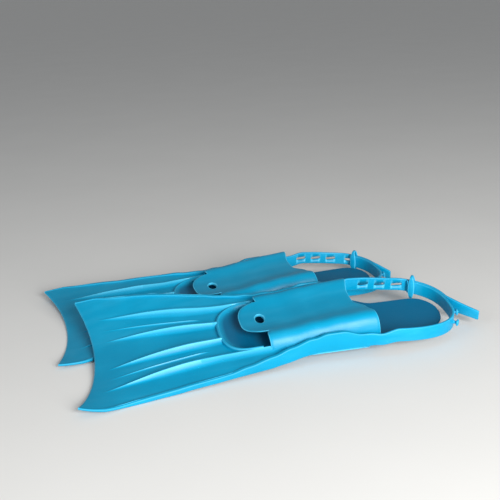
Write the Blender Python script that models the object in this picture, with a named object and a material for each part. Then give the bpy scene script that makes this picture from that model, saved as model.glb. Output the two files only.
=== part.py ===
"""Pair of rubber swim fins with adjustable heel straps, one lying partly on the other.

Each fin is one soft moulding. It is modelled here as its working zones: blade, side rails,
stiffening ribs, toe rim, sole, side bands, instep cover and the two halves of the heel strap.
Fin coordinates: s runs from the end of the heel pad toward the blade tip, y to the fin's right
when it is worn, z up from the sole line. A fin points along -X, so x = -s.
"""
import bpy
import bmesh
import math
from mathutils import Matrix, Vector

MM = 0.001
GAP = 0.3                      # clearance between neighbouring zones, mm

# ---- overall sizes, mm ----
LENGTH = 386.0                 # heel pad end to blade tip corners
TIP_WIDTH = 208.0
POCKET_WIDTH = 111.0           # across the side bands of the foot pocket
POCKET_END = 159.0             # where the rails stop narrowing
HINGE_S = 243.15               # line the blade bends about, just ahead of the toe rim
NOTCH_SLOPE = math.tan(math.radians(13.5))    # rails and bands open this much at that line
TIP_HOLLOW = 17.0              # depth of the curved tip edge
BLADE_SLOPE = math.tan(math.radians(2.88))
BLADE_TIP_Z = 1.7
HINGE_Z = BLADE_TIP_Z + (LENGTH - HINGE_S) * BLADE_SLOPE
BLADE_T = 2.4

EDGE_DROOP = ((190, 0.5), (243, 2.2), (287, 1.2), (320, 0.3), (340, 0.0))

RAIL_W = 5.0
RAIL_DROP = ((243, 4.3), (287, 3.0), (320, 2.1), (355, 1.3), (386, 1.1))    # below the blade's middle
RAIL_RISE = ((243, 1.9), (287, 2.8), (320, 2.7), (355, 1.6), (386, 1.1))    # above it

MAIN_RIB = dict(width=5.2, root_h=4.6, tip_h=1.6)
FINE_RIB = dict(width=2.6, root_h=2.2, tip_h=1.0)

PAD_HALF = 31.0                # half width of the heel pad
SOLE_TOP, SOLE_BOTTOM = 5.0, -3.0
WALL_T = 4.0
WALL_END = 86.0                # rear end of the side bands, where the strap begins
WALL_LOW = ((99, 6.5), (146, 6.5), (163, 4.8), (183, 2.8), (200, 1.8), (243, 2.4))
WALL_HIGH = ((86, 20.2), (103, 21.6), (124, 27.2), (139, 27.0), (153, 23.4), (177, 19.0), (197, 14.8),
             (222, 11.2), (243, 8.6))
COVER_T = 3.0
COVER_CREST = ((92, 31.6), (120, 30.0), (146, 27.2), (175, 23.2), (205, 21.2))
COVER_DISH = 5.2               # the shoulders stand this far above the middle
TONGUE_HALF, TONGUE_TIP, WING_FRONT = 30.0, 218.5, 195.0
VENT_HOLE_W, VENT_HOLE_L, VENT_HOLE_S = 17.0, 8.8, 197.5      # oval hole, long across the foot

STRAP_HALF, STRAP_TURN_S, STRAP_REAR_S = 56.0, 74.0, -10.5
STRAP_H, STRAP_T = 15.0, 2.8
STRAP_Z0, STRAP_RISE = 7.9, 0.12
STRAP_DIP, STRAP_ROOT_H, STRAP_HINGE_Z = 4.9, 13.0, 20.0      # the left root sits lower and is narrower
SLOT_LEN, SLOT_H, SLOT_PITCH, SLOT_FIRST = 12.5, 4.4, 19.5, 19.0
N_SLOTS = 5

# ---- how each fin lies: origin (mm), yaw, pitch, roll (deg). As the soft blade has settled: lift
#      of the tip's left corner, sag of the tip's middle and lift of the right edge (mm). How far the
#      right strap root dips (mm), and where along the strap its keeper sits (0..1) ----
POSES = {
    "upper_fin": dict(at=(24.5, -84.0, 11.9), yaw=-2.75, pitch=-0.68, roll=7.97, corner=14.4, cup=4.0,
                      right=((190, 1.5), (204, 2.7), (225, 5.2), (250, 9.3), (303, 11.4), (361, 9.6), (386, 7.7)),
                      dip=0.6, keeper=0.690),
    "lower_fin": dict(at=(0.0, 60.0, 6.4), yaw=2.70, pitch=-0.80, roll=2.8, corner=6.0, cup=2.6,
                      right=((190, 1.6), (243, 6.4), (303, 3.0), (361, 2.0), (386, 1.0)),
                      dip=4.9, keeper=0.643),
}
CENTRE = (164.04, 12.39, 1.615)    # shifts the pair onto its own origin


def vec(s, y, z):
    return Vector((-s * MM, y * MM, z * MM))


def mix(a, b, t):
    return a + (b - a) * t


def ramp(x, a, b):
    """Smooth 0..1 step between a and b."""
    t = min(1.0, max(0.0, (x - a) / (b - a)))
    return t * t * (3 - 2 * t)


def frange(a, b, n):
    return [mix(a, b, i / (n - 1)) for i in range(n)]


def keyed(x, keys):
    """Value that eases between (position, value) pairs."""
    if x <= keys[0][0]:
        return keys[0][1]
    for (a, va), (b, vb) in zip(keys, keys[1:]):
        if x <= b:
            return mix(va, vb, ramp(x, a, b))
    return keys[-1][1]


# ---------------------------------------------------------------- materials
def rubber(name, colour, roughness):
    m = bpy.data.materials.new(name)
    m.use_nodes = True
    p = m.node_tree.nodes["Principled BSDF"]
    p.inputs["Base Color"].default_value = (*colour, 1.0)
    p.inputs["Roughness"].default_value = roughness
    p.inputs["Metallic"].default_value = 0.0
    return m


ZONE_LOOK = {
    "blade": ((0.0, 0.27, 0.47), 0.42), "rail": ((0.0, 0.33, 0.62), 0.36),
    "rib": ((0.0, 0.31, 0.56), 0.38), "toe": ((0.0, 0.30, 0.54), 0.38),
    "sole": ((0.0, 0.19, 0.36), 0.50), "band": ((0.0, 0.33, 0.62), 0.36),
    "cover": ((0.0, 0.30, 0.56), 0.36), "strap": ((0.0, 0.30, 0.56), 0.38),
    "stud": ((0.0, 0.30, 0.56), 0.36),
}


# ---------------------------------------------------------------- mesh helpers
def solid(name, rings, look, parent, loop=False, smooth=True):
    """A closed body through a row of equal rings, capped at both ends unless it is a loop."""
    off = Vector(parent["fin_offset"])
    bm = bmesh.new()
    rows = [[bm.verts.new(vec(*p) - off) for p in ring] for ring in rings]
    n = len(rows[0])
    pairs = list(zip(rows, rows[1:])) + ([(rows[-1], rows[0])] if loop else [])
    for a, b in pairs:
        for i in range(n):
            j = (i + 1) % n
            bm.faces.new((a[i], a[j], b[j], b[i]))
    if not loop:
        for k in range(n // 2 - 1):               # end caps, as a ladder of quads
            for row, turn in ((rows[0], -1), (rows[-1], 1)):
                bm.faces.new((row[k], row[k + 1], row[n - 2 - k], row[n - 1 - k])[::turn])
    return finish(name, bm, look, parent, smooth)


def sheet(name, top, bottom, look, parent):
    """A closed plate between two equal grids of points."""
    off = Vector(parent["fin_offset"])
    bm = bmesh.new()
    a = [[bm.verts.new(vec(*p) - off) for p in row] for row in top]
    b = [[bm.verts.new(vec(*p) - off) for p in row] for row in bottom]
    rows, cols = len(a), len(a[0])
    for i in range(rows - 1):
        for j in range(cols - 1):
            bm.faces.new((a[i][j], a[i][j + 1], a[i + 1][j + 1], a[i + 1][j]))
            bm.faces.new((b[i][j], b[i + 1][j], b[i + 1][j + 1], b[i][j + 1]))
    rim = ([(0, j) for j in range(cols)] + [(i, cols - 1) for i in range(1, rows)]
           + [(rows - 1, j) for j in range(cols - 2, -1, -1)] + [(i, 0) for i in range(rows - 2, 0, -1)])
    for (i, j), (k, l) in zip(rim, rim[1:] + rim[:1]):
        bm.faces.new((a[i][j], b[i][j], b[k][l], a[k][l]))
    return finish(name, bm, look, parent, True)


def finish(name, bm, look, parent, smooth):
    bmesh.ops.recalc_face_normals(bm, faces=bm.faces)
    me = bpy.data.meshes.new(name)
    bm.to_mesh(me)
    bm.free()
    if smooth:
        me.shade_smooth()
        me.set_sharp_from_angle(angle=math.radians(35))
    ob = bpy.data.objects.new(name, me)
    bpy.context.collection.objects.link(ob)
    colour, rough = ZONE_LOOK[look]
    me.materials.append(rubber(name + "_rubber", colour, rough))
    ob.parent = parent
    return ob


def cut(ob, cutter):
    cutter.hide_render = True
    cutter.display_type = "WIRE"
    m = ob.modifiers.new("Cut", "BOOLEAN")
    m.operation, m.solver, m.object = "DIFFERENCE", "EXACT", cutter


def empty(name, parent=None, at=(0, 0, 0)):
    e = bpy.data.objects.new(name, None)
    e.empty_display_size = 0.03
    bpy.context.collection.objects.link(e)
    off = vec(*at)
    e.parent = parent
    e.location = off - (Vector(parent["fin_offset"]) if parent else Vector())
    e["fin_offset"] = list(off)
    return e


# ---------------------------------------------------------------- fin shape
def half_width(s):
    """Outer half width over the rails and side bands."""
    t = min(1.0, max(0.0, (LENGTH - 25 - s) / (LENGTH - 25 - POCKET_END)))
    body = mix(TIP_WIDTH / 2 * 0.97, POCKET_WIDTH / 2, t)
    return body + ramp(s, LENGTH - 60, LENGTH) * TIP_WIDTH * 0.015


def blade_z(s, y, pose):
    """Mid surface of the blade: straight slope, dished toward the tip, edges bent as it lies."""
    v = max(0.0, (s - HINGE_S) / (LENGTH - HINGE_S))
    u = max(-1.0, min(1.0, y / half_width(s)))
    return (BLADE_TIP_Z + (LENGTH - s) * BLADE_SLOPE - pose["cup"] * v * v * (1 - u * u)
            + pose["corner"] * v ** 5 * max(0.0, -u) ** 3 + keyed(s, pose["right"]) * max(0.0, u) ** 2.2
            - keyed(s, EDGE_DROOP) * u * u)


def tip_s(u):
    """Tip edge: corners full length, middle drawn in."""
    return LENGTH - TIP_HOLLOW * (1 - u * u)


def band_rings(points, thick, zlow, zhigh, notch=0):
    """Upright rectangular rings along a path of (s, y) points; the path runs down their middle.

    notch 1 or -1 slopes the first or the last ring back above and below the bending axis, so
    that the next zone has room to swing.
    """
    rings = []
    for i, (s, y) in enumerate(points):
        a, b = points[max(0, i - 1)], points[min(len(points) - 1, i + 1)]
        d = Vector((b[0] - a[0], b[1] - a[1])).normalized()
        n = Vector((-d.y, d.x)) * thick(s) / 2
        lo, hi, c = zlow(s, y), zhigh(s, y), 0.7
        mid = min(max(HINGE_Z, lo + 0.8), hi - 1.5)
        ring = [(s + n.x, y + n.y, lo), (s + n.x, y + n.y, mid), (s + n.x, y + n.y, hi - c),
                (s + n.x * 0.5, y + n.y * 0.5, hi), (s - n.x * 0.5, y - n.y * 0.5, hi),
                (s - n.x, y - n.y, hi - c), (s - n.x, y - n.y, mid), (s - n.x, y - n.y, lo)]
        if notch and i == (0 if notch > 0 else len(points) - 1):
            back = [notch * NOTCH_SLOPE * abs(r - HINGE_Z) for p, q, r in ring]
            ring = [(p + d.x * k, q + d.y * k, r) for (p, q, r), k in zip(ring, back)]
        rings.append(ring)
    return rings


def make_blade(fin, hinge, pose):
    """Blade plate, its two rails and its six ribs."""
    root = HINGE_S + 0.45
    rows_top, rows_low = [], []
    for v in frange(0, 1, 15):
        top, low = [], []
        for u in frange(-1, 1, 17):
            s = mix(root, tip_s(u), v)
            y = u * (half_width(s) - RAIL_W - GAP)
            z = blade_z(s, y, pose)
            half = mix(BLADE_T, 1.6, v) / 2
            top.append((s, y, z + half))
            low.append((s, y, z - half))
        rows_top.append(top)
        rows_low.append(low)
    sheet(fin + "_blade", rows_top, rows_low, "blade", hinge)

    for side, word in ((-1, "left"), (1, "right")):
        pts = [(s, side * (half_width(s) - RAIL_W / 2)) for s in frange(root, LENGTH, 15)]
        solid(f"{fin}_{word}_rail", band_rings(
            pts, lambda s: RAIL_W, lambda s, y: blade_z(s, y, pose) - keyed(s, RAIL_DROP),
            lambda s, y: blade_z(s, y, pose) + keyed(s, RAIL_RISE), 1), "rail", hinge)

    def rib(name, path, size, first, last):
        pts, rings = [path(s) for s in frange(first, last, 11)], []
        for i, (s, y) in enumerate(pts):
            v = i / (len(pts) - 1)
            w, h = size["width"] / 2, mix(size["root_h"], size["tip_h"], v)
            base = [blade_z(s, y + k * w, pose) + mix(BLADE_T, 1.6, (s - root) / (LENGTH - root)) / 2 + GAP + 0.1
                    for k in (-1, 1)]
            rings.append([(s, y - w, base[0]), (s, y - w * 0.55, base[0] + h),
                          (s, y + w * 0.55, base[1] + h), (s, y + w, base[1])])
        solid(name, rings, "rib", hinge, smooth=False)

    for side, word in ((-1, "left"), (1, "right")):
        rib(f"{fin}_outer_rib_{word}", lambda s: (s, side * (45.6 + 20.1 * ((s - HINGE_S) / 121) ** 1.25)),
            MAIN_RIB, root, 368)
        rib(f"{fin}_inner_rib_{word}", lambda s: (s, side * (15.7 + 9.6 * (s - HINGE_S) / 116)),
            MAIN_RIB, root, 365)
        rib(f"{fin}_fine_rib_{word}", lambda s: (s, side * (30.0 + 15.5 * (s - 255) / 109)),
            FINE_RIB, 255, 363)


def sole_half(s):
    inner = half_width(s) - WALL_T - GAP
    body = mix(PAD_HALF, inner, ramp(s, 64, 100))
    if s < 26:                                    # rounded heel end
        body = PAD_HALF * max(0.0, 1 - ((26 - s) / 26) ** 2.4) ** 0.5
    return max(body, 5.0)


def sole_top(s):
    return SOLE_TOP + 4.6 * ramp(s, 140, 243)


def make_sole(fin, frame):
    stations = [0.0, 1.2, 3.5, 7, 12, 18, 26, 45, 64, 73, 82, 91, 100, 130, 159, 190, 215, HINGE_S - 0.95]
    rings = []
    for s in stations:
        w, top = sole_half(s), sole_top(s)
        low = SOLE_BOTTOM + 8.2 * ramp(s, 170, 243)
        rings.append([(s, -w, top), (s, -w * 0.5, top - 0.8), (s, w * 0.5, top - 0.8), (s, w, top),
                      (s, w, top - 4.0), (s, w * 0.72, low), (s, -w * 0.72, low), (s, -w, top - 4.0)])
    solid(fin + "_sole", rings, "sole", frame)


def make_side_bands(fin, frame, pose):
    """Walls beside the foot, with a raised shoulder at the instep, falling to the rails."""
    for side, word in ((-1, "left"), (1, "right")):
        def lift(s):
            return keyed(s, pose["right"]) * ramp(s, 160, 200) if side > 0 else 0.0
        pts = [(s, side * (half_width(s) - WALL_T / 2)) for s in frange(WALL_END, HINGE_S - 0.45, 18)]
        solid(f"{fin}_{word}_side_band", band_rings(
            pts, lambda s: WALL_T, lambda s, y: keyed(s, WALL_LOW) + lift(s) * ramp(s, 205, 243),
            lambda s, y: keyed(s, WALL_HIGH) + lift(s), -1), "band", frame)


def make_toe_rim(fin, frame):
    pts = []
    for a in frange(-90, 90, 25):
        c, k = math.cos(math.radians(a)), math.sin(math.radians(a))
        e = 2 / 2.6
        pts.append((203.0 + 35.5 * abs(c) ** e, math.copysign(abs(k) ** e, k) * 42.6))
    pts = [(200.0, -42.4)] + pts + [(200.0, 42.4)]
    solid(fin + "_toe_rim", band_rings(
        pts, lambda s: 5.0, lambda s, y: sole_top(s) + GAP,
        lambda s, y: mix(17.0, 13.8, ramp(s, 205, 236))), "toe", frame)


def cover_half(s):
    return mix(50.4, 49.6, ramp(s, 100, 196))


def cover_z(s, u):
    """Height of the cover's outer face: hollow middle, raised shoulders, steep sides."""
    base = sole_top(s) + GAP
    u = min(1.0, abs(u))
    return (base + (keyed(s, COVER_CREST) - base) * (1 - u ** 8) ** 0.5
            + COVER_DISH * math.sin(math.pi * u ** 2.8))


def cover_front(y):
    """Rounded tongue over the toes, set back to the wings on both sides."""
    a = abs(y)
    if a < TONGUE_HALF:
        return mix(WING_FRONT, TONGUE_TIP, (1 - (a / TONGUE_HALF) ** 3.2) ** 0.45)
    return WING_FRONT


def cover_rear(y):
    """Hollow in the middle; the left lobe reaches further back than the right one."""
    if y < 0:
        return keyed(-y, ((4, 98.8), (19, 88.5), (36, 84.5), (50, 82.5)))
    return keyed(y, ((17, 98.8), (43, 94.0), (50, 90.5)))


def make_cover(fin, frame):
    us = [-1, -0.995, -0.975, -0.93, -0.86, -0.77, -0.68, -0.602, -0.594, -0.55, -0.46, -0.34, -0.17, 0]
    us += [-u for u in us[-2::-1]]
    outer, inner = [], []
    for v in frange(0, 1, 12):
        a, b = [], []
        for u in us:
            y0 = u * 50.0
            s = mix(cover_rear(y0), cover_front(y0), v)
            w = cover_half(s)
            k = (w - COVER_T) / w
            z = cover_z(s, u)
            base = sole_top(s) + GAP
            a.append((s, u * w, z))
            b.append((s, u * w * k, max(base, z - COVER_T) if abs(u) < 0.999 else base))
        outer.append(a)
        inner.append(b)
    ob = sheet(fin + "_instep_cover", outer, inner, "cover", frame)
    ring = []
    for z in (10.0, 40.0):
        ring.append([(VENT_HOLE_S + VENT_HOLE_L / 2 * math.cos(t), VENT_HOLE_W / 2 * math.sin(t), z)
                     for t in [2 * math.pi * i / 20 for i in range(20)]])
    cut(ob, solid(fin + "_vent_cutter", ring, "cover", frame))


# ---------------------------------------------------------------- heel strap
def strap_line(offset):
    """The strap's path in plan from the left root round the heel to the right root."""
    pts = [(s, -STRAP_HALF) for s in (WALL_END - 0.45, 82.5, 79.5, 76.5)]
    e = 2 / 2.6
    for a in frange(0, 180, 61):
        c, k = math.cos(math.radians(a)), math.sin(math.radians(a))
        pts.append((STRAP_TURN_S - (STRAP_TURN_S - STRAP_REAR_S) * abs(k) ** e,
                    -math.copysign(abs(c) ** e, c) * STRAP_HALF))
    pts += [(s, STRAP_HALF) for s in (76.5, 79.5, 82.5, WALL_END - 0.45)]
    out, run = [], 0.0
    for i, (s, y) in enumerate(pts):
        a, b = pts[max(0, i - 1)], pts[min(len(pts) - 1, i + 1)]
        d = Vector((b[0] - a[0], b[1] - a[1])).normalized()
        if i:
            run += math.hypot(s - pts[i - 1][0], y - pts[i - 1][1])
        out.append((run, s, y, d))
    total = out[-1][0]
    res = []
    for run, s, y, d in out:
        off = offset(run, total)
        res.append((run, s - abs(d.y) * off, y + math.copysign(abs(d.x) * off, y) if abs(y) > 1e-6 else y, d))
    return res, total


def at_run(line, r):
    for a, b in zip(line, line[1:]):
        if a[0] <= r <= b[0] + 1e-9:
            t = (r - a[0]) / max(1e-9, b[0] - a[0])
            return (mix(a[1], b[1], t), mix(a[2], b[2], t), a[3].lerp(b[3], t).normalized())
    return (line[-1][1], line[-1][2], line[-1][3])


def strap_mid(s, dip=STRAP_DIP):
    """Height of the strap's middle line: it dips where it grows out of the side band."""
    return STRAP_Z0 + STRAP_RISE * s - dip * ramp(s, 66, WALL_END - 0.45)


def strap_height(s, dip):
    return STRAP_H - (STRAP_H - STRAP_ROOT_H) * dip / STRAP_DIP * ramp(s, 66, WALL_END - 0.45)


def strap_rings(line, runs, dip):
    rings = []
    for r in runs:
        s, y, d = at_run(line, r)
        n = Vector((-d.y, d.x)) * STRAP_T / 2
        z, h = strap_mid(s, dip), strap_height(s, dip) / 2
        rings.append([(s + n.x, y + n.y, z - h), (s + n.x, y + n.y, z + h),
                      (s - n.x, y - n.y, z + h), (s - n.x, y - n.y, z - h)])
    return rings


def stud(name, at, out, z, parent):
    """T-headed stud standing on the strap's outer face."""
    side = Vector((-out.y, out.x))
    rings = []
    for d, r in ((0.0, 2.6), (1.0, 1.9), (3.6, 1.9), (3.9, 3.1), (5.4, 3.1), (6.0, 2.5)):
        ring = []
        for i in range(14):
            t = 2 * math.pi * i / 14
            q = Vector(at) + out * d + side * (r * math.cos(t))
            ring.append((q.x, q.y, z + r * math.sin(t)))
        rings.append(ring)
    return solid(name, rings, "stud", parent)


def make_strap(fin, hinge, pose):
    inner, total = strap_line(lambda r, t: 0.0)
    layer = STRAP_T + GAP + 0.1
    keeper_run = total * pose["keeper"]
    outer, _ = strap_line(lambda r, t: layer * ramp(-r, -(keeper_run + 34), -(keeper_run + 10)))

    end = keeper_run + 5.0
    solid(fin + "_stud_strap", strap_rings(inner, frange(0, end, 40), STRAP_DIP), "strap", hinge)

    tail_run = total * 0.545
    slotted = solid(fin + "_slotted_strap", strap_rings(outer, frange(tail_run, total, 34), pose["dip"]),
                    "strap", hinge)
    rings_all = []
    for k in range(N_SLOTS):
        r = total - SLOT_FIRST - k * SLOT_PITCH - (4.0 if k > 2 else 0.0)
        s, y, d = at_run(outer, r)
        n, z = Vector((-d.y, d.x)), strap_mid(s, pose["dip"])
        box = []
        for m in (-6, 6):
            box.append([(s + d.x * i * SLOT_LEN / 2 + n.x * m, y + d.y * i * SLOT_LEN / 2 + n.y * m,
                         z + j * SLOT_H / 2) for i, j in ((-1, -1), (1, -1), (1, 1), (-1, 1))])
        rings_all.append(box)
    for k, box in enumerate(rings_all):
        cut(slotted, solid(f"{fin}_slot_cutter_{k}", box, "strap", hinge, smooth=False))

    # keeper: a closed band round both layers
    s, y, d = at_run(outer, keeper_run)
    n = Vector((-d.y, d.x))
    if n.y < 0:
        n = -n
    mid_off, z = -layer / 2, strap_mid(s)
    hw, hh, rad = layer / 2 + STRAP_T / 2 + 1.6, 12.9, 1.6
    path = []
    for i, j in ((1, 1), (-1, 1), (-1, -1), (1, -1)):
        for a in frange(0, 90, 3):
            t = math.radians(a) + math.atan2(j, i) - math.pi / 4
            path.append((i * (hw - rad) + rad * math.cos(t), j * (hh - rad) + rad * math.sin(t)))
    rings = []
    for i, (p, q) in enumerate(path):
        a, b = path[i - 1], path[(i + 1) % len(path)]
        tn = Vector((b[0] - a[0], b[1] - a[1])).normalized()
        out = Vector((tn.y, -tn.x))
        ring = []
        for along, lift in ((-3.2, -1.1), (3.2, -1.1), (3.2, 1.1), (-3.2, 1.1)):
            pp, qq = p + out.x * lift, q + out.y * lift
            ring.append((s + d.x * along + n.x * (pp + mid_off), y + d.y * along + n.y * (pp + mid_off), z + qq))
        rings.append(ring)
    solid(fin + "_strap_keeper", rings, "strap", hinge, loop=True)

    # two free studs on the bare stretch of the stud strap
    for k, frac in enumerate((0.475, 0.395)):
        s, y, d = at_run(inner, total * frac)
        out = Vector((d.y, -d.x))
        if out.x > 0:
            out = -out
        base = Vector((s, y)) + out * (STRAP_T / 2 + GAP)
        stud(f"{fin}_strap_stud_{k + 1}", base, out, strap_mid(s), hinge)

    # tail: the free end of the slotted strap, standing away from the loop
    s, y, d = at_run(outer, tail_run)
    start = Vector((s, y)) - d * 0.45
    edge = start + Vector((-d.y, d.x)) * STRAP_T / 2      # it peels about the outer face
    axis = empty(fin + "_tail_axis", hinge, (edge.x, edge.y, strap_mid(s)))
    pts = []
    for t in frange(0, 1, 9):
        pts.append(start + (-d) * (30.0 * t) + Vector((-1, 0)) * (21.0 * t ** 1.5))
    rings = []
    for i, p in enumerate(pts):
        a, b = pts[max(0, i - 1)], pts[min(len(pts) - 1, i + 1)]
        dd = (b - a).normalized()
        n = Vector((-dd.y, dd.x)) * STRAP_T / 2
        t = i / (len(pts) - 1)
        z, h = strap_mid(s) - 2.5 * t * t, STRAP_H / 2 * (1 - 0.35 * t ** 6)
        rings.append([(p.x + n.x, p.y + n.y, z - h), (p.x + n.x, p.y + n.y, z + h),
                      (p.x - n.x, p.y - n.y, z + h), (p.x - n.x, p.y - n.y, z - h)])
    solid(fin + "_strap_tail", rings, "strap", axis)


# ---------------------------------------------------------------- assembly
def make_fin(fin, pose):
    frame = empty(fin + "_frame")
    frame.location = (Vector(pose["at"]) + Vector(CENTRE)) * MM
    frame.rotation_euler = [math.radians(pose[k]) for k in ("roll", "pitch", "yaw")]
    blade_axis = empty(fin + "_blade_axis", frame, (HINGE_S, 0, HINGE_Z))
    strap_axis = empty(fin + "_strap_axis", frame, (WALL_END - 0.3, 0, STRAP_HINGE_Z))
    make_blade(fin, blade_axis, pose)
    make_toe_rim(fin, frame)
    make_sole(fin, frame)
    make_side_bands(fin, frame, pose)
    make_cover(fin, frame)
    make_strap(fin, strap_axis, pose)


for old in list(bpy.data.objects):
    bpy.data.objects.remove(old, do_unlink=True)
for fin_name, fin_pose in POSES.items():
    make_fin(fin_name, fin_pose)
bpy.context.view_layer.update()
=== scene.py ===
"""Looks of a pair of soft rubber swim fins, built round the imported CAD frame.

Fin coordinates, in millimetres: s from the end of the heel pad toward the blade tip, y to the
fin's right, z up from the sole line. Each fin is eleven smooth skins, laid where its CAD zones are.
"""

import math

import bmesh
import bpy
from mathutils import Euler, Matrix, Vector


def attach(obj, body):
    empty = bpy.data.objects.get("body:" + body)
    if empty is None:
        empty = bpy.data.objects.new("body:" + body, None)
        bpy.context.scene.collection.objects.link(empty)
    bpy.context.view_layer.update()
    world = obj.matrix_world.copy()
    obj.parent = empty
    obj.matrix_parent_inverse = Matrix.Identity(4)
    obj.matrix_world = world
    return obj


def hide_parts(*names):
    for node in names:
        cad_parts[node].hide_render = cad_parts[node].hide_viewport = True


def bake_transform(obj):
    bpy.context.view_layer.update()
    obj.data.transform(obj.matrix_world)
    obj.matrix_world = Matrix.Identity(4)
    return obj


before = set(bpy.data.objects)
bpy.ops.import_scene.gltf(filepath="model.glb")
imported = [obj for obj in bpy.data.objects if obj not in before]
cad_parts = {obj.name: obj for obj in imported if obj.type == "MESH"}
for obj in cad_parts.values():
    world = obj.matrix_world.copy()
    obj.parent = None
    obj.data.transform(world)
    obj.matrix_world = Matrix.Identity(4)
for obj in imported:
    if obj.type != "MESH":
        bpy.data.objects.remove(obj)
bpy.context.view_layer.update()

MM = 0.001

# ---- the fin's own sizes, as in the CAD, mm ----
LENGTH, TIP_WIDTH, POCKET_WIDTH, POCKET_END = 386.0, 208.0, 111.0, 159.0
HINGE_S, TIP_HOLLOW = 243.15, 17.0
BLADE_SLOPE, BLADE_TIP_Z = math.tan(math.radians(2.88)), 1.7
EDGE_DROOP = ((190, 0.5), (243, 2.2), (287, 1.2), (320, 0.3), (340, 0.0))
RAIL_DROP = ((243, 4.3), (287, 3.0), (320, 2.1), (355, 1.3), (386, 1.1))
RAIL_RISE = ((243, 1.9), (287, 2.8), (320, 2.7), (355, 1.6), (386, 1.1))
WALL_LOW = ((99, 6.5), (146, 6.5), (163, 4.8), (183, 2.8), (200, 1.8), (243, 2.4))
WALL_HIGH = ((86, 20.2), (103, 21.6), (124, 27.2), (139, 27.0), (153, 23.4), (177, 19.0), (197, 14.8),
             (222, 11.2), (243, 8.6))
COVER_CREST = ((92, 31.6), (120, 30.0), (146, 27.2), (175, 23.2), (205, 21.2))
COVER_DISH = 5.2
TONGUE_HALF, TONGUE_TIP, WING_FRONT = 30.0, 218.5, 195.0
VENT_HOLE_W, VENT_HOLE_L, VENT_HOLE_S = 17.0, 8.8, 197.5
RIM_S, RIM_DEPTH, RIM_HALF = 203.0, 37.0, 44.5
SOLE_TOP, SOLE_BOTTOM, PAD_HALF = 5.0, -3.0, 31.0
STRAP_HALF, STRAP_TURN_S, STRAP_REAR_S = 56.0, 74.0, -10.5
STRAP_H, STRAP_T, STRAP_Z0, STRAP_RISE = 15.0, 2.8, 7.9, 0.12
STRAP_DIP, STRAP_ROOT_H = 4.9, 13.0
BAND_END = 99.0                # where the side band hands over to the heel strap
HEEL_END = 101.0               # where the plate reaches the width of the foot pocket
FLEX_START, FLEX_END = 229.0, 272.0    # start and end of the blade's flex zone, in s
SKIN_INSET = 2.2               # how far the plate's edge is buried in the rails and bands
SIDE_HALF_T = ((99, 1.4), (112, 2.0), (243, 2.3), (340, 2.2), (386, 1.1))
SIDE_ROUND = ((99, 1.0), (300, 1.2), (386, 0.9))
BOWL_FLOOR, BOWL_BURIED = 8.4, 5.0     # foot of the toe bowl's slope, and its hidden underside
COVER_T, COVER_SPAN = 2.4, 50.0
SLOTS, SLOT_PITCH, SLOT_L, SLOT_H = 5, 19.5, 12.5, 3.6
SLOT_FROM_BAND, SLOT_GAP_EXTRA = 32.0, 4.0    # the last two slots stand a little further off
TAIL_AT, STUDS_AT = 0.540, (0.455, 0.380)     # fractions of the strap's run, from the left band
TAIL_L, TAIL_SWEEP, TAIL_SAG = 31.5, 22.5, 4.6
TAIL_REACH = {"upper_fin": 1.0, "lower_fin": 0.66}
SUPERELLIPSE = 2.6             # roundness of the toe rim and of the strap's turn, seen from above

POSES = {
    "upper_fin": dict(at=(24.5, -84.0, 11.9), yaw=-2.75, pitch=-0.68, roll=7.97, corner=14.4, cup=4.0,
                      right=((190, 1.5), (204, 2.7), (225, 5.2), (250, 9.3), (303, 11.4), (361, 9.6),
                             (386, 7.7)),
                      dip=0.6, keeper=0.690),
    "lower_fin": dict(at=(0.0, 60.0, 6.4), yaw=2.70, pitch=-0.80, roll=2.8, corner=6.0, cup=2.6,
                      right=((190, 1.6), (243, 6.4), (303, 3.0), (361, 2.0), (386, 1.0)),
                      dip=4.9, keeper=0.643),
}
CENTRE = (164.04, 12.39, 1.615)    # shifts the pair onto its own origin


def mix(a, b, t):
    return a + (b - a) * t


def ramp(x, a, b):
    t = min(1.0, max(0.0, (x - a) / (b - a)))
    return t * t * (3 - 2 * t)


def frange(a, b, n):
    return [mix(a, b, i / (n - 1)) for i in range(n)]


def keyed(x, keys):
    """Smoothly eased value between (position, value) keys given in rising order."""
    if x <= keys[0][0]:
        return keys[0][1]
    for (a, va), (b, vb) in zip(keys, keys[1:]):
        if x <= b:
            return mix(va, vb, ramp(x, a, b))
    return keys[-1][1]


# ================================================================ materials
def new_material(name):
    m = bpy.data.materials.new(name)
    m.use_nodes = True
    return m, m.node_tree.nodes, m.node_tree.links, m.node_tree.nodes["Principled BSDF"]


def noise(nodes, links, coords, scale, detail=3.0, rough=0.55, stretch=None):
    n = nodes.new("ShaderNodeTexNoise")
    n.inputs["Scale"].default_value = scale
    n.inputs["Detail"].default_value = detail
    n.inputs["Roughness"].default_value = rough
    if stretch:
        mp = nodes.new("ShaderNodeMapping")
        mp.inputs["Scale"].default_value = stretch
        links.new(coords, mp.inputs["Vector"])
        coords = mp.outputs["Vector"]
    links.new(coords, n.inputs["Vector"])
    return n.outputs["Fac"]


def curve_map(nodes, links, value, low, high, out_low=0.0, out_high=1.0):
    r = nodes.new("ShaderNodeMapRange")
    for key, v in (("From Min", low), ("From Max", high), ("To Min", out_low), ("To Max", out_high)):
        r.inputs[key].default_value = v
    links.new(value, r.inputs["Value"])
    return r.outputs["Result"]


def blend_colour(nodes, links, factor, a, b):
    n = nodes.new("ShaderNodeMix")
    n.data_type = "RGBA"
    links.new(factor, n.inputs["Factor"])
    for key, v in (("A", a), ("B", b)):
        socket = [i for i in n.inputs if i.name == key and i.type == "RGBA"][0]
        if isinstance(v, tuple):
            socket.default_value = (*v, 1.0)
        else:
            links.new(v, socket)
    return [o for o in n.outputs if o.type == "RGBA"][0]


def scaled(nodes, links, value, factor):
    n = nodes.new("ShaderNodeMath")
    n.operation = "MULTIPLY"
    n.inputs[1].default_value = factor
    links.new(value, n.inputs[0])
    return n.outputs[0]


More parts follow.
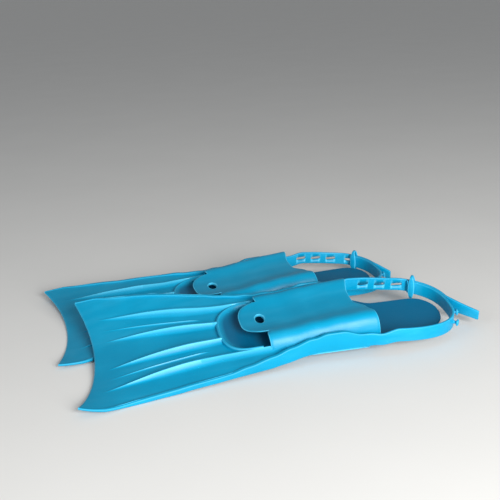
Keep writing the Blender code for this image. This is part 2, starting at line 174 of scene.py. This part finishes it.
def attribute(nodes, name):
    n = nodes.new("ShaderNodeAttribute")
    n.attribute_name = name
    return n.outputs["Fac"]


def bump(nodes, links, height, strength, distance):
    n = nodes.new("ShaderNodeBump")
    n.inputs["Strength"].default_value = strength
    n.inputs["Distance"].default_value = distance
    links.new(height, n.inputs["Height"])
    return n


def soft_rubber(name, base, deep, edge, roughness, grain=0.10, streak=0.5):
    """Moulded PVC rubber: cloudy colour, a painted highlight along proud edges, flow streaks, dust, painted
    shade inside the foot pocket and a fine grain.
    """
    m, nodes, links, p = new_material(name)
    co = nodes.new("ShaderNodeTexCoord").outputs["Object"]
    cloud = curve_map(nodes, links, noise(nodes, links, co, 17.0, 4.0), 0.35, 0.68)
    streaks = curve_map(nodes, links, noise(nodes, links, co, 60.0, 3.0, 0.6, (0.16, 1.0, 1.0)), 0.45, 0.72)
    scuffs = curve_map(nodes, links, noise(nodes, links, co, 330.0, 5.0, 0.7, (0.35, 1.0, 1.0)), 0.66, 0.74)
    fine = noise(nodes, links, co, 1500.0, 2.0)
    ripple = noise(nodes, links, co, 190.0, 2.0)
    colour = blend_colour(nodes, links, cloud, deep, base)
    colour = blend_colour(nodes, links, scaled(nodes, links, streaks, 0.16 * streak), colour, edge)
    colour = blend_colour(nodes, links, scaled(nodes, links, scuffs, 0.22), colour, edge)
    # painted highlight: points on sharp, proud edges are mixed toward the light colour
    edge_highlight = scaled(nodes, links, attribute(nodes, "edge"), 0.75)
    colour = blend_colour(nodes, links, edge_highlight, colour, edge)
    # painted shade: the colour is darkened toward a deep blue inside the foot pocket
    colour = blend_colour(nodes, links, attribute(nodes, "foot"), colour, POCKET_SHADE)
    links.new(colour, p.inputs["Base Color"])
    links.new(curve_map(nodes, links, noise(nodes, links, co, 45.0, 4.0), 0.3, 0.7,
                        roughness - 0.05, roughness + 0.07), p.inputs["Roughness"])
    p.inputs["IOR"].default_value = 1.5
    p.inputs["Specular IOR Level"].default_value = 0.2
    fine_bump = bump(nodes, links, fine, grain, 0.0003)
    ripple_bump = bump(nodes, links, ripple, 0.10, 0.0008)
    links.new(fine_bump.outputs["Normal"], ripple_bump.inputs["Normal"])
    links.new(ripple_bump.outputs["Normal"], p.inputs["Normal"])
    return m


# deep blue of the painted shade inside the foot pocket
POCKET_SHADE = (0.0, 0.115, 0.235)
BLUE, DEEP, LIGHT = (0.0, 0.29, 0.50), (0.0, 0.25, 0.44), (0.10, 0.58, 0.84)
RUBBER = soft_rubber("fin_rubber", BLUE, DEEP, LIGHT, 0.40)
STRAP_RUBBER = soft_rubber("strap_rubber", (0.0, 0.30, 0.53), (0.0, 0.26, 0.47), LIGHT, 0.38, 0.08, 1.0)
COVER_RUBBER = soft_rubber("cover_rubber", (0.0, 0.27, 0.47), (0.0, 0.24, 0.42), LIGHT, 0.36, 0.07)


# ================================================================ meshes
class Fin:
    """One fin: its place in the row frame, and helpers that build pieces in fin coordinates."""

    def __init__(self, name, pose):
        self.name, self.pose = name, pose
        turn = Euler([math.radians(pose[k]) for k in ("roll", "pitch", "yaw")]).to_matrix().to_4x4()
        self.matrix = Matrix.Translation((Vector(pose["at"]) + Vector(CENTRE)) * MM) @ turn

    def point(self, s, y, z):
        return self.matrix @ Vector((-s * MM, y * MM, z * MM))

    def piece(self, name, bm, material, slot, angle=40.0, foot=False):
        bmesh.ops.recalc_face_normals(bm, faces=bm.faces)
        mark_edges(bm)
        if foot:
            self.mark_pocket_shade(bm)
        me = bpy.data.meshes.new(f"{self.name}_{name}")
        bm.to_mesh(me)
        bm.free()
        me.shade_smooth()
        me.set_sharp_from_angle(angle=math.radians(angle))
        me.materials.append(material)
        ob = bpy.data.objects.new(me.name, me)
        bpy.context.scene.collection.objects.link(ob)
        return ob

    def mark_pocket_shade(self, bm):
        """Stores which points lie inside the foot pocket, for the painted shade that darkens the rubber
        there.
        """
        layer, back = bm.verts.layers.float.new("foot"), self.matrix.inverted()
        for v in bm.verts:
            x, y, z = back @ v.co
            v[layer] = ramp(1 - rim_inside(-x / MM, y / MM), 0.04, 0.42) * ramp(z / MM, 1.0, 3.5)

    def rings(self, rows, loop=False):
        """Skin through a row of equal rings of fin points, closed at both ends or into a loop."""
        bm = bmesh.new()
        vs = [[bm.verts.new(self.point(*p)) for p in row] for row in rows]
        n = len(vs[0])
        for a, b in list(zip(vs, vs[1:])) + ([(vs[-1], vs[0])] if loop else []):
            for i in range(n):
                j = (i + 1) % n
                bm.faces.new((a[i], a[j], b[j], b[i]))
        if not loop:
            bm.faces.new(vs[0][::-1])
            bm.faces.new(vs[-1])
        return bm

    def plate(self, top, low, bulge=0.0):
        """Skin over two equal grids of fin points, joined by a rounded rim that bulges outward."""
        bm = bmesh.new()
        a = [[bm.verts.new(self.point(*p)) for p in row] for row in top]
        b = [[bm.verts.new(self.point(*p)) for p in row] for row in low]
        rows, cols = len(a), len(a[0])
        for i in range(rows - 1):
            for j in range(cols - 1):
                bm.faces.new((a[i][j], a[i][j + 1], a[i + 1][j + 1], a[i + 1][j]))
                bm.faces.new((b[i][j], b[i + 1][j], b[i + 1][j + 1], b[i][j + 1]))
        rim = ([(0, j) for j in range(cols)] + [(i, cols - 1) for i in range(1, rows)]
               + [(rows - 1, j) for j in range(cols - 2, -1, -1)] + [(i, 0) for i in range(rows - 2, 0, -1)])
        mid = []
        for i, j in rim:
            pa, pb = a[i][j].co, b[i][j].co
            inner = a[min(max(i, 1), rows - 2)][min(max(j, 1), cols - 2)].co
            out = pa - inner
            up = (pa - pb).normalized()
            out = (out - up * out.dot(up)).normalized()
            mid.append(bm.verts.new((pa + pb) / 2 + out * bulge * MM))
        n = len(rim)
        for k in range(n):
            (i, j), (p, q) = rim[k], rim[(k + 1) % n]
            bm.faces.new((a[i][j], mid[k], mid[(k + 1) % n], a[p][q]))
            bm.faces.new((mid[k], b[i][j], b[p][q], mid[(k + 1) % n]))
        return bm


def mark_edges(bm):
    """Stores how sharply each point stands proud, for the painted highlight along the rubber's edges."""
    layer = bm.verts.layers.float.get("edge") or bm.verts.layers.float.new("edge")
    bm.normal_update()
    for v in bm.verts:
        bend = 0.0
        for e in v.link_edges:
            if len(e.link_faces) == 2 and all(len(f.verts) < 12 for f in e.link_faces):
                bend = max(bend, e.calc_face_angle_signed(0.0))
        v[layer] = ramp(bend, 0.35, 0.95)


def rounded_ring(half_t, lo, hi, radius, steps=3):
    """Cross-section of a band: (across, z) points of a rectangle with rounded corners."""
    pts = []
    r = min(radius, half_t * 0.98, (hi - lo) / 2 * 0.98)
    for cx, cz, start in ((half_t - r, hi - r, 0), (-half_t + r, hi - r, 90),
                          (-half_t + r, lo + r, 180), (half_t - r, lo + r, 270)):
        for a in frange(start, start + 90, steps + 1):
            t = math.radians(a)
            pts.append((cx + r * math.cos(t), cz + r * math.sin(t)))
    return pts


def sweep_band(points, half_t, lo, hi, radius):
    """Rings of an upright band along a plan path; sizes are functions of s."""
    rows = []
    for i, (s, y) in enumerate(points):
        a, b = points[max(0, i - 1)], points[min(len(points) - 1, i + 1)]
        d = Vector((b[0] - a[0], b[1] - a[1])).normalized()
        n = Vector((-d.y, d.x))
        rows.append([(s + n.x * c, y + n.y * c, z)
                     for c, z in rounded_ring(half_t(s), lo(s, y), hi(s, y), radius(s))])
    return rows


# ---------------------------------------------------------------- blade, deck and sole
def half_width(s):
    t = min(1.0, max(0.0, (LENGTH - 25 - s) / (LENGTH - 25 - POCKET_END)))
    body = mix(TIP_WIDTH / 2 * 0.97, POCKET_WIDTH / 2, t)
    return body + ramp(s, LENGTH - 60, LENGTH) * TIP_WIDTH * 0.015


def blade_z(s, y, pose):
    v = max(0.0, (s - HINGE_S) / (LENGTH - HINGE_S))
    u = max(-1.0, min(1.0, y / half_width(s)))
    return (BLADE_TIP_Z + (LENGTH - s) * BLADE_SLOPE - pose["cup"] * v * v * (1 - u * u)
            + pose["corner"] * v ** 5 * max(0.0, -u) ** 3 + keyed(s, pose["right"]) * max(0.0, u) ** 2.2
            - keyed(s, EDGE_DROOP) * u * u)


def rim_inside(s, y):
    """Below 1 inside the toe rim's line, above 1 outside it."""
    return (max(0.0, s - RIM_S) / RIM_DEPTH) ** SUPERELLIPSE + (abs(y) / RIM_HALF) ** SUPERELLIPSE


def sole_half(s):
    if s < 26:
        return max(1.5, PAD_HALF * max(0.0, 1 - ((26 - s) / 26) ** 2.4) ** 0.5)
    return mix(PAD_HALF, half_width(s) - SKIN_INSET, ramp(s, 64, HEEL_END))


def plate_half(s):
    """Half width of the plate: its edge is buried in the rails and side bands."""
    full = half_width(s) - SKIN_INSET
    return min(sole_half(s), full) if s < HEEL_END else full


def sole_top(s):
    return SOLE_TOP + 4.6 * ramp(s, 140, 243)


def rib_height(s, lane):
    """Height of a rib's crest: a hairline at the tip, tallest past the middle, lower at the toe."""
    if lane == "fine":
        return 1.3 * ramp(s, 252, 268) * (1 - ramp(s, 300, 372)) ** 0.8
    root, tip = {"outer": (HINGE_S, 371.0), "inner": (238.0, 369.0)}[lane]
    t = min(1.0, max(0.0, (tip - s) / (tip - root)))
    h = 5.9 * math.sin(min(1.0, t / 0.72) * math.pi / 2) ** 1.45 * mix(1.0, 0.76, ramp(t, 0.7, 1.0))
    return h * (ramp(s, 186, 197) if lane == "outer" else ramp(s, 232, 236))


def rib_line(s, lane):
    s = max(s, 200.0)
    if lane == "outer":
        return 45.6 + 20.1 * (max(0.0, s - HINGE_S) / 121) ** 1.25
    if lane == "inner":
        return 15.7 + 9.6 * (s - HINGE_S) / 116
    return 30.0 + 15.5 * (s - 255) / 109


def rib_base(s, lane):
    """Half width of a rib's fillets at the blade."""
    t = min(1.0, max(0.0, (368 - s) / 90))
    return {"outer": mix(1.4, 6.4, t), "inner": mix(1.3, 5.6, t), "fine": 1.4}[lane]


def rib_crest(s, lane):
    return 0.2 if lane == "fine" else mix(0.25, 0.75, min(1.0, max(0.0, (368 - s) / 110)))


RIB_STEPS = (1.0, 0.8, 0.62, 0.46)


def lanes_across(s):
    """Positions across one half of the plate, middle to edge, with the rib each one belongs to."""
    w = plate_half(s)
    out, last = [(0.0, None, 0.0)], 0.0
    for lane in ("inner", "fine", "outer"):
        c, a, k = rib_line(s, lane), rib_base(s, lane), rib_crest(s, lane)
        start = c - a
        for t in (0.12, 0.3, 0.5, 0.7, 0.88):
            out.append((mix(last, start, t), None, 0.0))
        offs = ([-a * f for f in RIB_STEPS] + [-k, -k * 0.45, 0.0, k * 0.45, k]
                + [a * f for f in RIB_STEPS[::-1]])
        for o in offs:
            out.append((c + o, lane, max(0.0, (abs(o) - k) / (a - k))))
        last = c + a
    wide = max(w, last + 6.0)
    for t in (0.08, 0.2, 0.35, 0.5, 0.62, 0.72, 0.8, 0.86, 0.91, 0.95, 0.98, 1.0):
        out.append((mix(last, wide, t), None, 0.0))
    # squeeze everything inside a plate that is narrower than the blade
    squeeze = w / wide
    res = []
    for y, lane, f in out:
        res.append((min(w, y * squeeze), lane if squeeze > 0.999 else None, f))
    return res


def tip_shift(s, u):
    return -TIP_HOLLOW * (1 - u * u) * (max(0.0, s - 290) / (LENGTH - 290)) ** 2


def plate_rows(pose):
    stations = ([0, 0.25, 0.7, 1.4, 2.4, 3.8, 5.5, 8, 11, 15, 20, 26] + frange(31, 96, 14)
                + frange(100, 184, 22) + frange(187, 262, 61) + frange(264, 380, 66)
                + [382.5, 384.6, 385.6, 386.0])
    top, low = [], []
    for s in stations:
        half = lanes_across(s)
        w = plate_half(s)
        across = [(-y, lane, f) for y, lane, f in half[::-1]] + half[1:]
        row_t, row_l = [], []
        for y, lane, f in across:
            u = y / w
            ss = s + tip_shift(s, u)
            deck = blade_z(s, y, pose)
            thick = mix(1.2, 0.85, ramp(s, 260, 380)) * (0.5 if s > 385.9 else 1.0 if s < 385 else 0.85)
            inside = rim_inside(s, y)
            out = ramp(inside, 0.86, 0.96) * ramp(s, 99, 110)
            z = mix(sole_top(s) - 0.7 * (1 - abs(u) ** 3), deck + thick, out)
            if lane:
                z += rib_height(s, lane) * (1 - f) ** 1.9 * ramp(inside, 0.97, 1.06)
            d = w - abs(y)
            grow = 1 - ramp(s, 330, 375)
            z += 1.6 * max(0.0, 1 - d / 5.0) ** 2 * grow * out * ramp(s, 200, 290)
            if s < 99:
                z -= 0.9 * ramp(abs(u), 0.93, 1.0) ** 2
            out_l = ramp(inside, 0.75, 1.35) * ramp(s, 150, 215)
            sole_low = SOLE_BOTTOM + 8.2 * ramp(s, 170, 243) + 2.5 * ramp(s, 243, 258)
            edge_up = 7.2 * ramp(abs(u), 0.60, 1.0) ** 1.5 * (1 - out_l)
            zl = mix(sole_low + edge_up, deck - thick, out_l if s < 258 else 1.0)
            row_t.append((ss, y, z))
            row_l.append((ss, y, min(zl, z - 0.5)))
        top.append(row_t)
        low.append(row_l)
    return top, low


def make_plate(fin):
    top, low = plate_rows(fin.pose)
    ob = fin.piece("blade_and_sole", fin.plate(top, low, 0.45), RUBBER, "blade_rubber", 55.0, foot=True)
    n = fin.name
    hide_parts(n + "_blade", n + "_sole", *[f"{n}_{k}_rib_{w}" for k in ("outer", "inner", "fine")
                                                 for w in ("left", "right")])
    across_hinge(fin, ob)


def across_hinge(fin, ob):
    fin.point(FLEX_START, 0, 9)
    fin.point(FLEX_END, 0, 7)
    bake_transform(ob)


# ---------------------------------------------------------------- rails and side bands
def band_low(s, y, pose):
    if s >= HINGE_S:
        return blade_z(s, y, pose) - keyed(s, RAIL_DROP)
    lift = keyed(s, pose["right"]) * ramp(s, 205, 243) if y > 0 else 0.0
    return keyed(s, WALL_LOW) + lift


def band_high(s, y, pose):
    if s >= HINGE_S:
        return blade_z(s, y, pose) + keyed(s, RAIL_RISE)
    lift = keyed(s, pose["right"]) * ramp(s, 160, 200) if y > 0 else 0.0
    return keyed(s, WALL_HIGH) + lift


def side_half_t(s):
    return keyed(s, SIDE_HALF_T)


def make_sides(fin):
    pose = fin.pose
    for side, word in ((-1, "left"), (1, "right")):
        pts = [(s, side * (half_width(s) - side_half_t(s))) for s in
               frange(BAND_END, 240, 60) + frange(243, 374, 54) + [377, 380, 382.5, 384.5, 385.6, 386]]
        rows = sweep_band(pts, side_half_t, lambda s, y: band_low(s, y, pose) + (0.4 if s > 385.8 else 0.0),
                          lambda s, y: band_high(s, y, pose) - (0.4 if s > 385.8 else 0.0),
                          lambda s: keyed(s, SIDE_ROUND))
        ob = fin.piece(f"{word}_rail_and_band", fin.rings(rows), RUBBER, "rail_rubber")
        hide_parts(f"{fin.name}_{word}_rail", f"{fin.name}_{word}_side_band")
        across_hinge(fin, ob)


# ---------------------------------------------------------------- toe rim and bowl
def make_toe_bowl(fin):
    """Lip round the toe opening, sloping inward to a shallow step above the footbed."""
    rows = []
    for a in frange(-90, 90, 73):
        c, k = math.cos(math.radians(a)), math.sin(math.radians(a))
        e = 2 / SUPERELLIPSE
        s0, y0 = RIM_S + RIM_DEPTH * abs(c) ** e, math.copysign(abs(k) ** e, k) * RIM_HALF
        edge_highlight = mix(17.2, 14.0, ramp(s0, 205, 236))
        nx, ny = abs(c), k
        deck = blade_z(s0, y0, fin.pose) + 1.1
        drop = 22.0 * abs(c) ** 0.7
        profile = [(2.6, 0, deck - 0.9), (2.3, 0, deck + 0.3), (2.1, 0, mix(deck, edge_highlight, 0.5)),
                   (1.9, 0, edge_highlight - 0.7), (1.4, 0, edge_highlight - 0.2), (0.6, 0, edge_highlight), (-0.2, 0, edge_highlight - 0.1),
                   (-0.9, 0, edge_highlight - 0.7), (-1.6, 0.05, edge_highlight - 1.8), (-2.2, 0.2, mix(edge_highlight, BOWL_FLOOR, 0.42)),
                   (-2.8, 0.45, mix(edge_highlight, BOWL_FLOOR, 0.68)), (-3.4, 0.75, mix(edge_highlight, BOWL_FLOOR, 0.90)),
                   (-3.8, 1.0, 8.5), (-4.1, 1.02, 8.3), (-4.2, 1.03, 7.6), (-4.2, 1.04, BOWL_BURIED),
                   (2.6, 0, BOWL_BURIED)]
        rows.append([(s0 + nx * o - drop * t, y0 + ny * o * (1.0 if o > 0 else 1.25), z)
                     for o, t, z in profile])
    ob = fin.piece("toe_bowl", fin.rings(rows), RUBBER, "pocket_rubber", 50.0, foot=True)
    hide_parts(fin.name + "_toe_rim")
    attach(ob, fin.name + "_pocket")


# ---------------------------------------------------------------- instep cover
def cover_half(s):
    return mix(50.4, 49.8, ramp(s, 100, 196))


def cover_z(s, u):
    """Outer face of the cover: hollow middle, raised shoulders, steep sides."""
    base = sole_top(s) + 1.0
    u = min(1.0, abs(u))
    return (base + (keyed(s, COVER_CREST) - base) * (1 - u ** 8) ** 0.5
            + COVER_DISH * math.sin(math.pi * u ** 2.8))


def cover_front(y):
    """Rounded tongue over the toes, set back to the wings by a small rounded notch."""
    a = abs(y)
    wing = WING_FRONT + 1.2 * ramp(a, TONGUE_HALF, 38) - 1.0 * ramp(a, 42, 50)
    if a < TONGUE_HALF:
        return mix(wing, TONGUE_TIP, (1 - (a / TONGUE_HALF) ** 3.0) ** 0.46)
    return wing


def cover_rear(y):
    if y < 0:
        return keyed(-y, ((3, 98.6), (19, 88.8), (36, 84.5), (50, 82.5)))
    return keyed(y, ((15, 98.6), (43, 94.0), (50, 90.5)))


def make_cover(fin):
    right = ([math.sin(math.radians(a)) for a in frange(0, 33, 13)]
             + [0.560, 0.573, 0.583, 0.590, 0.595, 0.598, 0.600, 0.606, 0.614]
             + [math.sin(math.radians(a)) for a in frange(39, 90, 22)])
    us = [-u for u in right[:0:-1]] + right
    outer, inner = [], []
    for v in [0, 0.006, 0.014] + frange(0.03, 0.97, 58) + [0.986, 0.994, 1]:
        a, b = [], []
        for u in us:
            y0 = u * COVER_SPAN
            s = mix(cover_rear(y0), cover_front(y0), v)
            w, t = cover_half(s), COVER_T
            end = min(v, 1 - v)
            droop = 0.55 * (1 - ramp(end, 0, 0.018))
            z = cover_z(s, u)
            k = (w - t) / w
            a.append((s, u * (w - droop * abs(u) ** 8), z - droop * (1 - abs(u) ** 8)))
            zi = max(sole_top(s) + 0.4, z - t)
            b.append((s, u * w * k, zi + droop * 0.8))
        outer.append(a)
        inner.append(b)
    ob = fin.piece("instep_cover", fin.plate(outer, inner, 0.35), COVER_RUBBER, "pocket_rubber", 50.0)
    ring = []
    top = cover_z(VENT_HOLE_S, 0)
    for z, flare in ((10.0, 0.0), (top - 0.9, 0.0), (top + 0.9, 1.1), (top + 8, 1.1)):
        ring.append([(VENT_HOLE_S + (VENT_HOLE_L / 2 + flare) * math.cos(t),
                      (VENT_HOLE_W / 2 + flare) * math.sin(t), z)
                     for t in [2 * math.pi * i / 40 for i in range(40)]])
    cutter = fin.piece("vent_cutter", fin.rings(ring), COVER_RUBBER, "pocket_rubber")
    apply_cut(ob, cutter)
    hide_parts(fin.name + "_instep_cover")
    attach(ob, fin.name + "_pocket")


def apply_cut(ob, cutter):
    m = ob.modifiers.new("cut", "BOOLEAN")
    m.operation, m.solver, m.object = "DIFFERENCE", "EXACT", cutter
    dg = bpy.context.evaluated_depsgraph_get()
    me = bpy.data.meshes.new_from_object(ob.evaluated_get(dg))
    ob.modifiers.clear()
    ob.data = me
    bm = bmesh.new()
    bm.from_mesh(me)
    mark_edges(bm)
    bm.to_mesh(me)
    bm.free()
    bpy.data.objects.remove(cutter, do_unlink=True)


# ---------------------------------------------------------------- heel strap
def root_y(s):
    """The strap's middle line slips outward from the band's as it leaves it."""
    return mix(STRAP_HALF, half_width(BAND_END) - 1.4, ramp(s, 78, BAND_END))


def strap_line(offset):
    pts = [(s, -root_y(s)) for s in frange(BAND_END, 76, 24)]
    e = 2 / SUPERELLIPSE
    for a in frange(0, 180, 121):
        c, k = math.cos(math.radians(a)), math.sin(math.radians(a))
        pts.append((STRAP_TURN_S - (STRAP_TURN_S - STRAP_REAR_S) * abs(k) ** e,
                    -math.copysign(abs(c) ** e, c) * STRAP_HALF))
    pts += [(s, root_y(s)) for s in frange(76, BAND_END, 24)]
    run, out = 0.0, []
    for i, (s, y) in enumerate(pts):
        a, b = pts[max(0, i - 1)], pts[min(len(pts) - 1, i + 1)]
        d = Vector((b[0] - a[0], b[1] - a[1])).normalized()
        if i:
            run += math.hypot(s - pts[i - 1][0], y - pts[i - 1][1])
        out.append((run, s, y, d))
    total = out[-1][0]
    res = []
    for run, s, y, d in out:
        o = offset(run)
        sideways = math.copysign(abs(d.x) * o, y) if abs(y) > 1e-6 else 0.0
        res.append((run, s - abs(d.y) * o, y + sideways, d))
    return res, total


def at_run(line, r):
    for a, b in zip(line, line[1:]):
        if a[0] <= r <= b[0] + 1e-9:
            t = (r - a[0]) / max(1e-9, b[0] - a[0])
            return mix(a[1], b[1], t), mix(a[2], b[2], t), a[3].lerp(b[3], t).normalized()
    return line[-1][1], line[-1][2], line[-1][3]


def strap_mid(s):
    return STRAP_Z0 + STRAP_RISE * s


def band_span(s, dip=None):
    """Lower and upper edge of the strap. The left root dips and narrows; the right one may dip."""
    narrow = 0.0 if dip is not None else (STRAP_H - STRAP_ROOT_H) / 2 * ramp(s, 64, 85.5)
    mid = strap_mid(s) - (STRAP_DIP if dip is None else dip) * ramp(s, 64, 85.5)
    h = STRAP_H / 2 - narrow
    t = ramp(s, 84, BAND_END)
    return mix(mid - h, band_low(BAND_END, 0, None), t), mix(mid + h, band_high(BAND_END, 0, None), t)


def strap_rows(line, runs, dip=None):
    rows = []
    for r in runs:
        s, y, d = at_run(line, r)
        n = Vector((-d.y, d.x))
        lo, hi = band_span(s, dip)
        t = STRAP_T / 2
        rows.append([(s + n.x * c, y + n.y * c, z) for c, z in rounded_ring(t, lo, hi, 1.0)])
    return rows


def slot_prism(fin, centre, d, z, length, height):
    """Round-ended cutter through the strap."""
    n = Vector((-d.y, d.x))
    outline = []
    r = height / 2
    for cx, start in ((length / 2 - r, -90), (-length / 2 + r, 90)):
        for a in frange(start, start + 180, 9):
            t = math.radians(a)
            outline.append((cx + r * math.cos(t), r * math.sin(t)))
    rows = []
    for m in (-7, 7):
        rows.append([(centre.x + d.x * p + n.x * m, centre.y + d.y * p + n.y * m, z + q)
                     for p, q in outline])
    return fin.piece("slot_cutter", fin.rings(rows), STRAP_RUBBER, "strap_rubber")


def make_straps(fin):
    inner, total = strap_line(lambda r: 0.0)
    keeper_run, dip = total * fin.pose["keeper"], fin.pose["dip"]
    layer = STRAP_T + 0.45
    outer, _ = strap_line(lambda r: layer * (1 - ramp(r, keeper_run + 8, keeper_run + 34)))
    root = dict(start=fin.point(97, 0, 18), end=fin.point(74, 0, 17))

    runs = frange(0, 60, 46) + frange(61.5, keeper_run + 5, 120)
    rows = strap_rows(inner, runs)
    stud_strap = fin.piece("stud_strap", fin.rings(rows), STRAP_RUBBER, "strap_rubber")
    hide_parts(fin.name + "_stud_strap")
    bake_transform(stud_strap)

    tail_run = total * TAIL_AT
    rows = strap_rows(outer, frange(tail_run, total - 60, 90) + frange(total - 58.7, total, 46), dip)
    slotted = fin.piece("slotted_strap", fin.rings(rows), STRAP_RUBBER, "strap_rubber")
    for k in range(SLOTS):
        r = total - SLOT_FROM_BAND - k * SLOT_PITCH - (SLOT_GAP_EXTRA if k > 2 else 0.0)
        s, y, d = at_run(outer, r)
        lo, hi = band_span(s, dip)
        apply_cut(slotted, slot_prism(fin, Vector((s, y)), d, (lo + hi) / 2, SLOT_L, SLOT_H))
    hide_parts(fin.name + "_slotted_strap")
    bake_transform(slotted)

    make_keeper(fin, outer, keeper_run, layer)
    for k, frac in enumerate(STUDS_AT):
        s, y, d = at_run(inner, total * frac)
        out = Vector((d.y, -d.x))
        if out.x > 0:
            out = -out
        make_stud(fin, k + 1, Vector((s, y)) + out * (STRAP_T / 2 - 0.3), out, strap_mid(s))
    make_tail(fin, outer, tail_run)


def make_keeper(fin, line, run, layer):
    """Moulded loop round both layers, leaf-shaped when seen along the foot."""
    s, y, d = at_run(line, run)
    n = Vector((-d.y, d.x))
    if n.y < 0:
        n = -n
    z, off = strap_mid(s), -layer / 2
    hw, hh = layer / 2 + STRAP_T / 2 + 1.5, 13.0
    rows = []
    for a in frange(0, 360, 49)[:-1]:
        t = math.radians(a)
        c, k = math.cos(t), math.sin(t)
        p = hw * math.copysign(abs(c) ** 0.55, c)
        q = hh * math.copysign(abs(k) ** 0.85, k)
        along = mix(3.7, 1.5, abs(q / hh) ** 2.2)
        nx, nz = Vector((c / hw, k / hh)).normalized()
        row = []
        for aa in frange(0, 360, 13)[:-1]:
            b = math.radians(aa)
            l = along * math.copysign(abs(math.cos(b)) ** 0.7, math.cos(b))
            h = 1.15 * math.copysign(abs(math.sin(b)) ** 0.7, math.sin(b))
            pp, qq = p + nx * h, q + nz * h
            row.append((s + d.x * l + n.x * (pp + off), y + d.y * l + n.y * (pp + off), z + qq))
        rows.append(row)
    ob = fin.piece("strap_keeper_loop", fin.rings(rows, loop=True), STRAP_RUBBER, "strap_rubber")
    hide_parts(fin.name + "_strap_keeper")
    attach(ob, fin.name + "_heel_strap")


def make_stud(fin, index, at, out, z):
    side = Vector((-out.y, out.x))
    rows = []
    for d, r in ((0.0, 3.2), (0.5, 2.5), (1.2, 2.0), (2.4, 1.85), (3.5, 1.95), (3.75, 2.5), (3.9, 3.0),
                 (4.3, 3.3), (5.2, 3.35), (5.8, 3.1), (6.15, 2.5), (6.3, 1.4)):
        row = []
        for i in range(28):
            t = 2 * math.pi * i / 28
            sq = (abs(math.cos(t)) ** 4 + abs(math.sin(t)) ** 4) ** -0.25 if d > 3.6 else 1.0
            q = at + out * d + side * (r * 0.92 * sq * math.cos(t))
            row.append((q.x, q.y, z + r * 0.92 * sq * math.sin(t)))
        rows.append(row)
    ob = fin.piece(f"stud_{index}", fin.rings(rows), STRAP_RUBBER, "strap_rubber")
    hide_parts(f"{fin.name}_strap_stud_{index}")
    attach(ob, fin.name + "_heel_strap")


def make_tail(fin, line, run):
    """Free end of the slotted strap, leaving the loop in a shallow curve."""
    s, y, d = at_run(line, run)
    start = Vector((s, y)) + d * 1.0
    pts = [start - d * (TAIL_L * t) + Vector((-1, 0)) * (TAIL_SWEEP * t ** 1.5)
           for t in frange(0, TAIL_REACH[fin.name], 40)]
    rows = []
    for i, p in enumerate(pts):
        a, b = pts[max(0, i - 1)], pts[min(len(pts) - 1, i + 1)]
        dd = (b - a).normalized()
        n = Vector((-dd.y, dd.x))
        t = i / (len(pts) - 1)
        z = strap_mid(s) - TAIL_SAG * t * t
        h = STRAP_H / 2 * (1 - 0.26 * ramp(t, 0.1, 1.0) - 0.08 * ramp(t, 0.96, 1))
        rows.append([(p.x + n.x * c, p.y + n.y * c, z + q)
                     for c, q in rounded_ring(STRAP_T / 2 - 0.02, -h, h, 1.0)])
    ob = fin.piece("strap_free_end", fin.rings(rows), STRAP_RUBBER, "strap_rubber")
    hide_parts(fin.name + "_strap_tail")
    a, b = pts[1], pts[12]
    fin.point(a.x, a.y, strap_mid(s))
    fin.point(b.x, b.y, strap_mid(s))
    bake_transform(ob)


# ================================================================ build
for fin_name, fin_pose in POSES.items():
    a_fin = Fin(fin_name, fin_pose)
    make_plate(a_fin)
    make_sides(a_fin)
    make_toe_bowl(a_fin)
    make_cover(a_fin)
    make_straps(a_fin)


# ================================================================ studio
def make_floor():
    m, nodes, links, p = new_material("studio_floor")
    co = nodes.new("ShaderNodeTexCoord").outputs["Object"]
    cloud = noise(nodes, links, co, 6.0)
    links.new(blend_colour(nodes, links, cloud, (0.72, 0.715, 0.70), (0.76, 0.755, 0.74)),
              p.inputs["Base Color"])
    p.inputs["Roughness"].default_value = 0.85
    me = bpy.data.meshes.new("studio_floor")
    me.from_pydata([(-25, -25, 0), (25, -25, 0), (25, 25, 0), (-25, 25, 0)], [], [(0, 1, 2, 3)])
    me.materials.append(m)
    ob = bpy.data.objects.new("studio_floor", me)
    bpy.context.scene.collection.objects.link(ob)


def area_light(name, at, target, size, power, colour=(1, 1, 1)):
    data = bpy.data.lights.new(name, "AREA")
    data.shape, data.size, data.energy, data.color = "DISK", size, power, colour
    ob = bpy.data.objects.new(name, data)
    ob.location = at
    ob.rotation_euler = (Vector(target) - Vector(at)).to_track_quat("-Z", "Y").to_euler()
    bpy.context.scene.collection.objects.link(ob)


def make_camera():
    """Three-quarter view from the left of the fins, a little above them."""
    look, right, up = (Vector(v) for v in ((0.21565, 0.92466, -0.31386), (0.96957, -0.24091, -0.04358),
                                           (0.11591, 0.29491, 0.94847)))
    at = (Vector((-362.96, -863.13, 373.58)) + Vector(CENTRE)) * MM
    data = bpy.data.cameras.new("camera")
    data.lens, data.sensor_width, data.clip_start = 60.7, 36.0, 0.01
    ob = bpy.data.objects.new("camera", data)
    turn = Matrix((right, up, -look)).transposed().to_4x4()
    ob.matrix_world = Matrix.Translation(at) @ turn
    bpy.context.scene.collection.objects.link(ob)
    bpy.context.scene.camera = ob


def make_studio():
    make_floor()
    area_light("key", (0.30, -1.6, 0.60), (0, 0, 0), 0.8, 46.0, (1.0, 0.99, 0.97))
    area_light("fill", (-1.5, -0.9, 0.8), (0, 0, 0), 1.0, 7.0, (0.95, 0.98, 1.0))
    world = bpy.data.worlds.new("studio")
    bpy.context.scene.world = world
    world.use_nodes = True
    back = world.node_tree.nodes["Background"]
    back.inputs["Color"].default_value = (0.80, 0.82, 0.84, 1.0)
    back.inputs["Strength"].default_value = 0.36
    bpy.context.scene.view_settings.view_transform = "Standard"


make_studio()
make_camera()
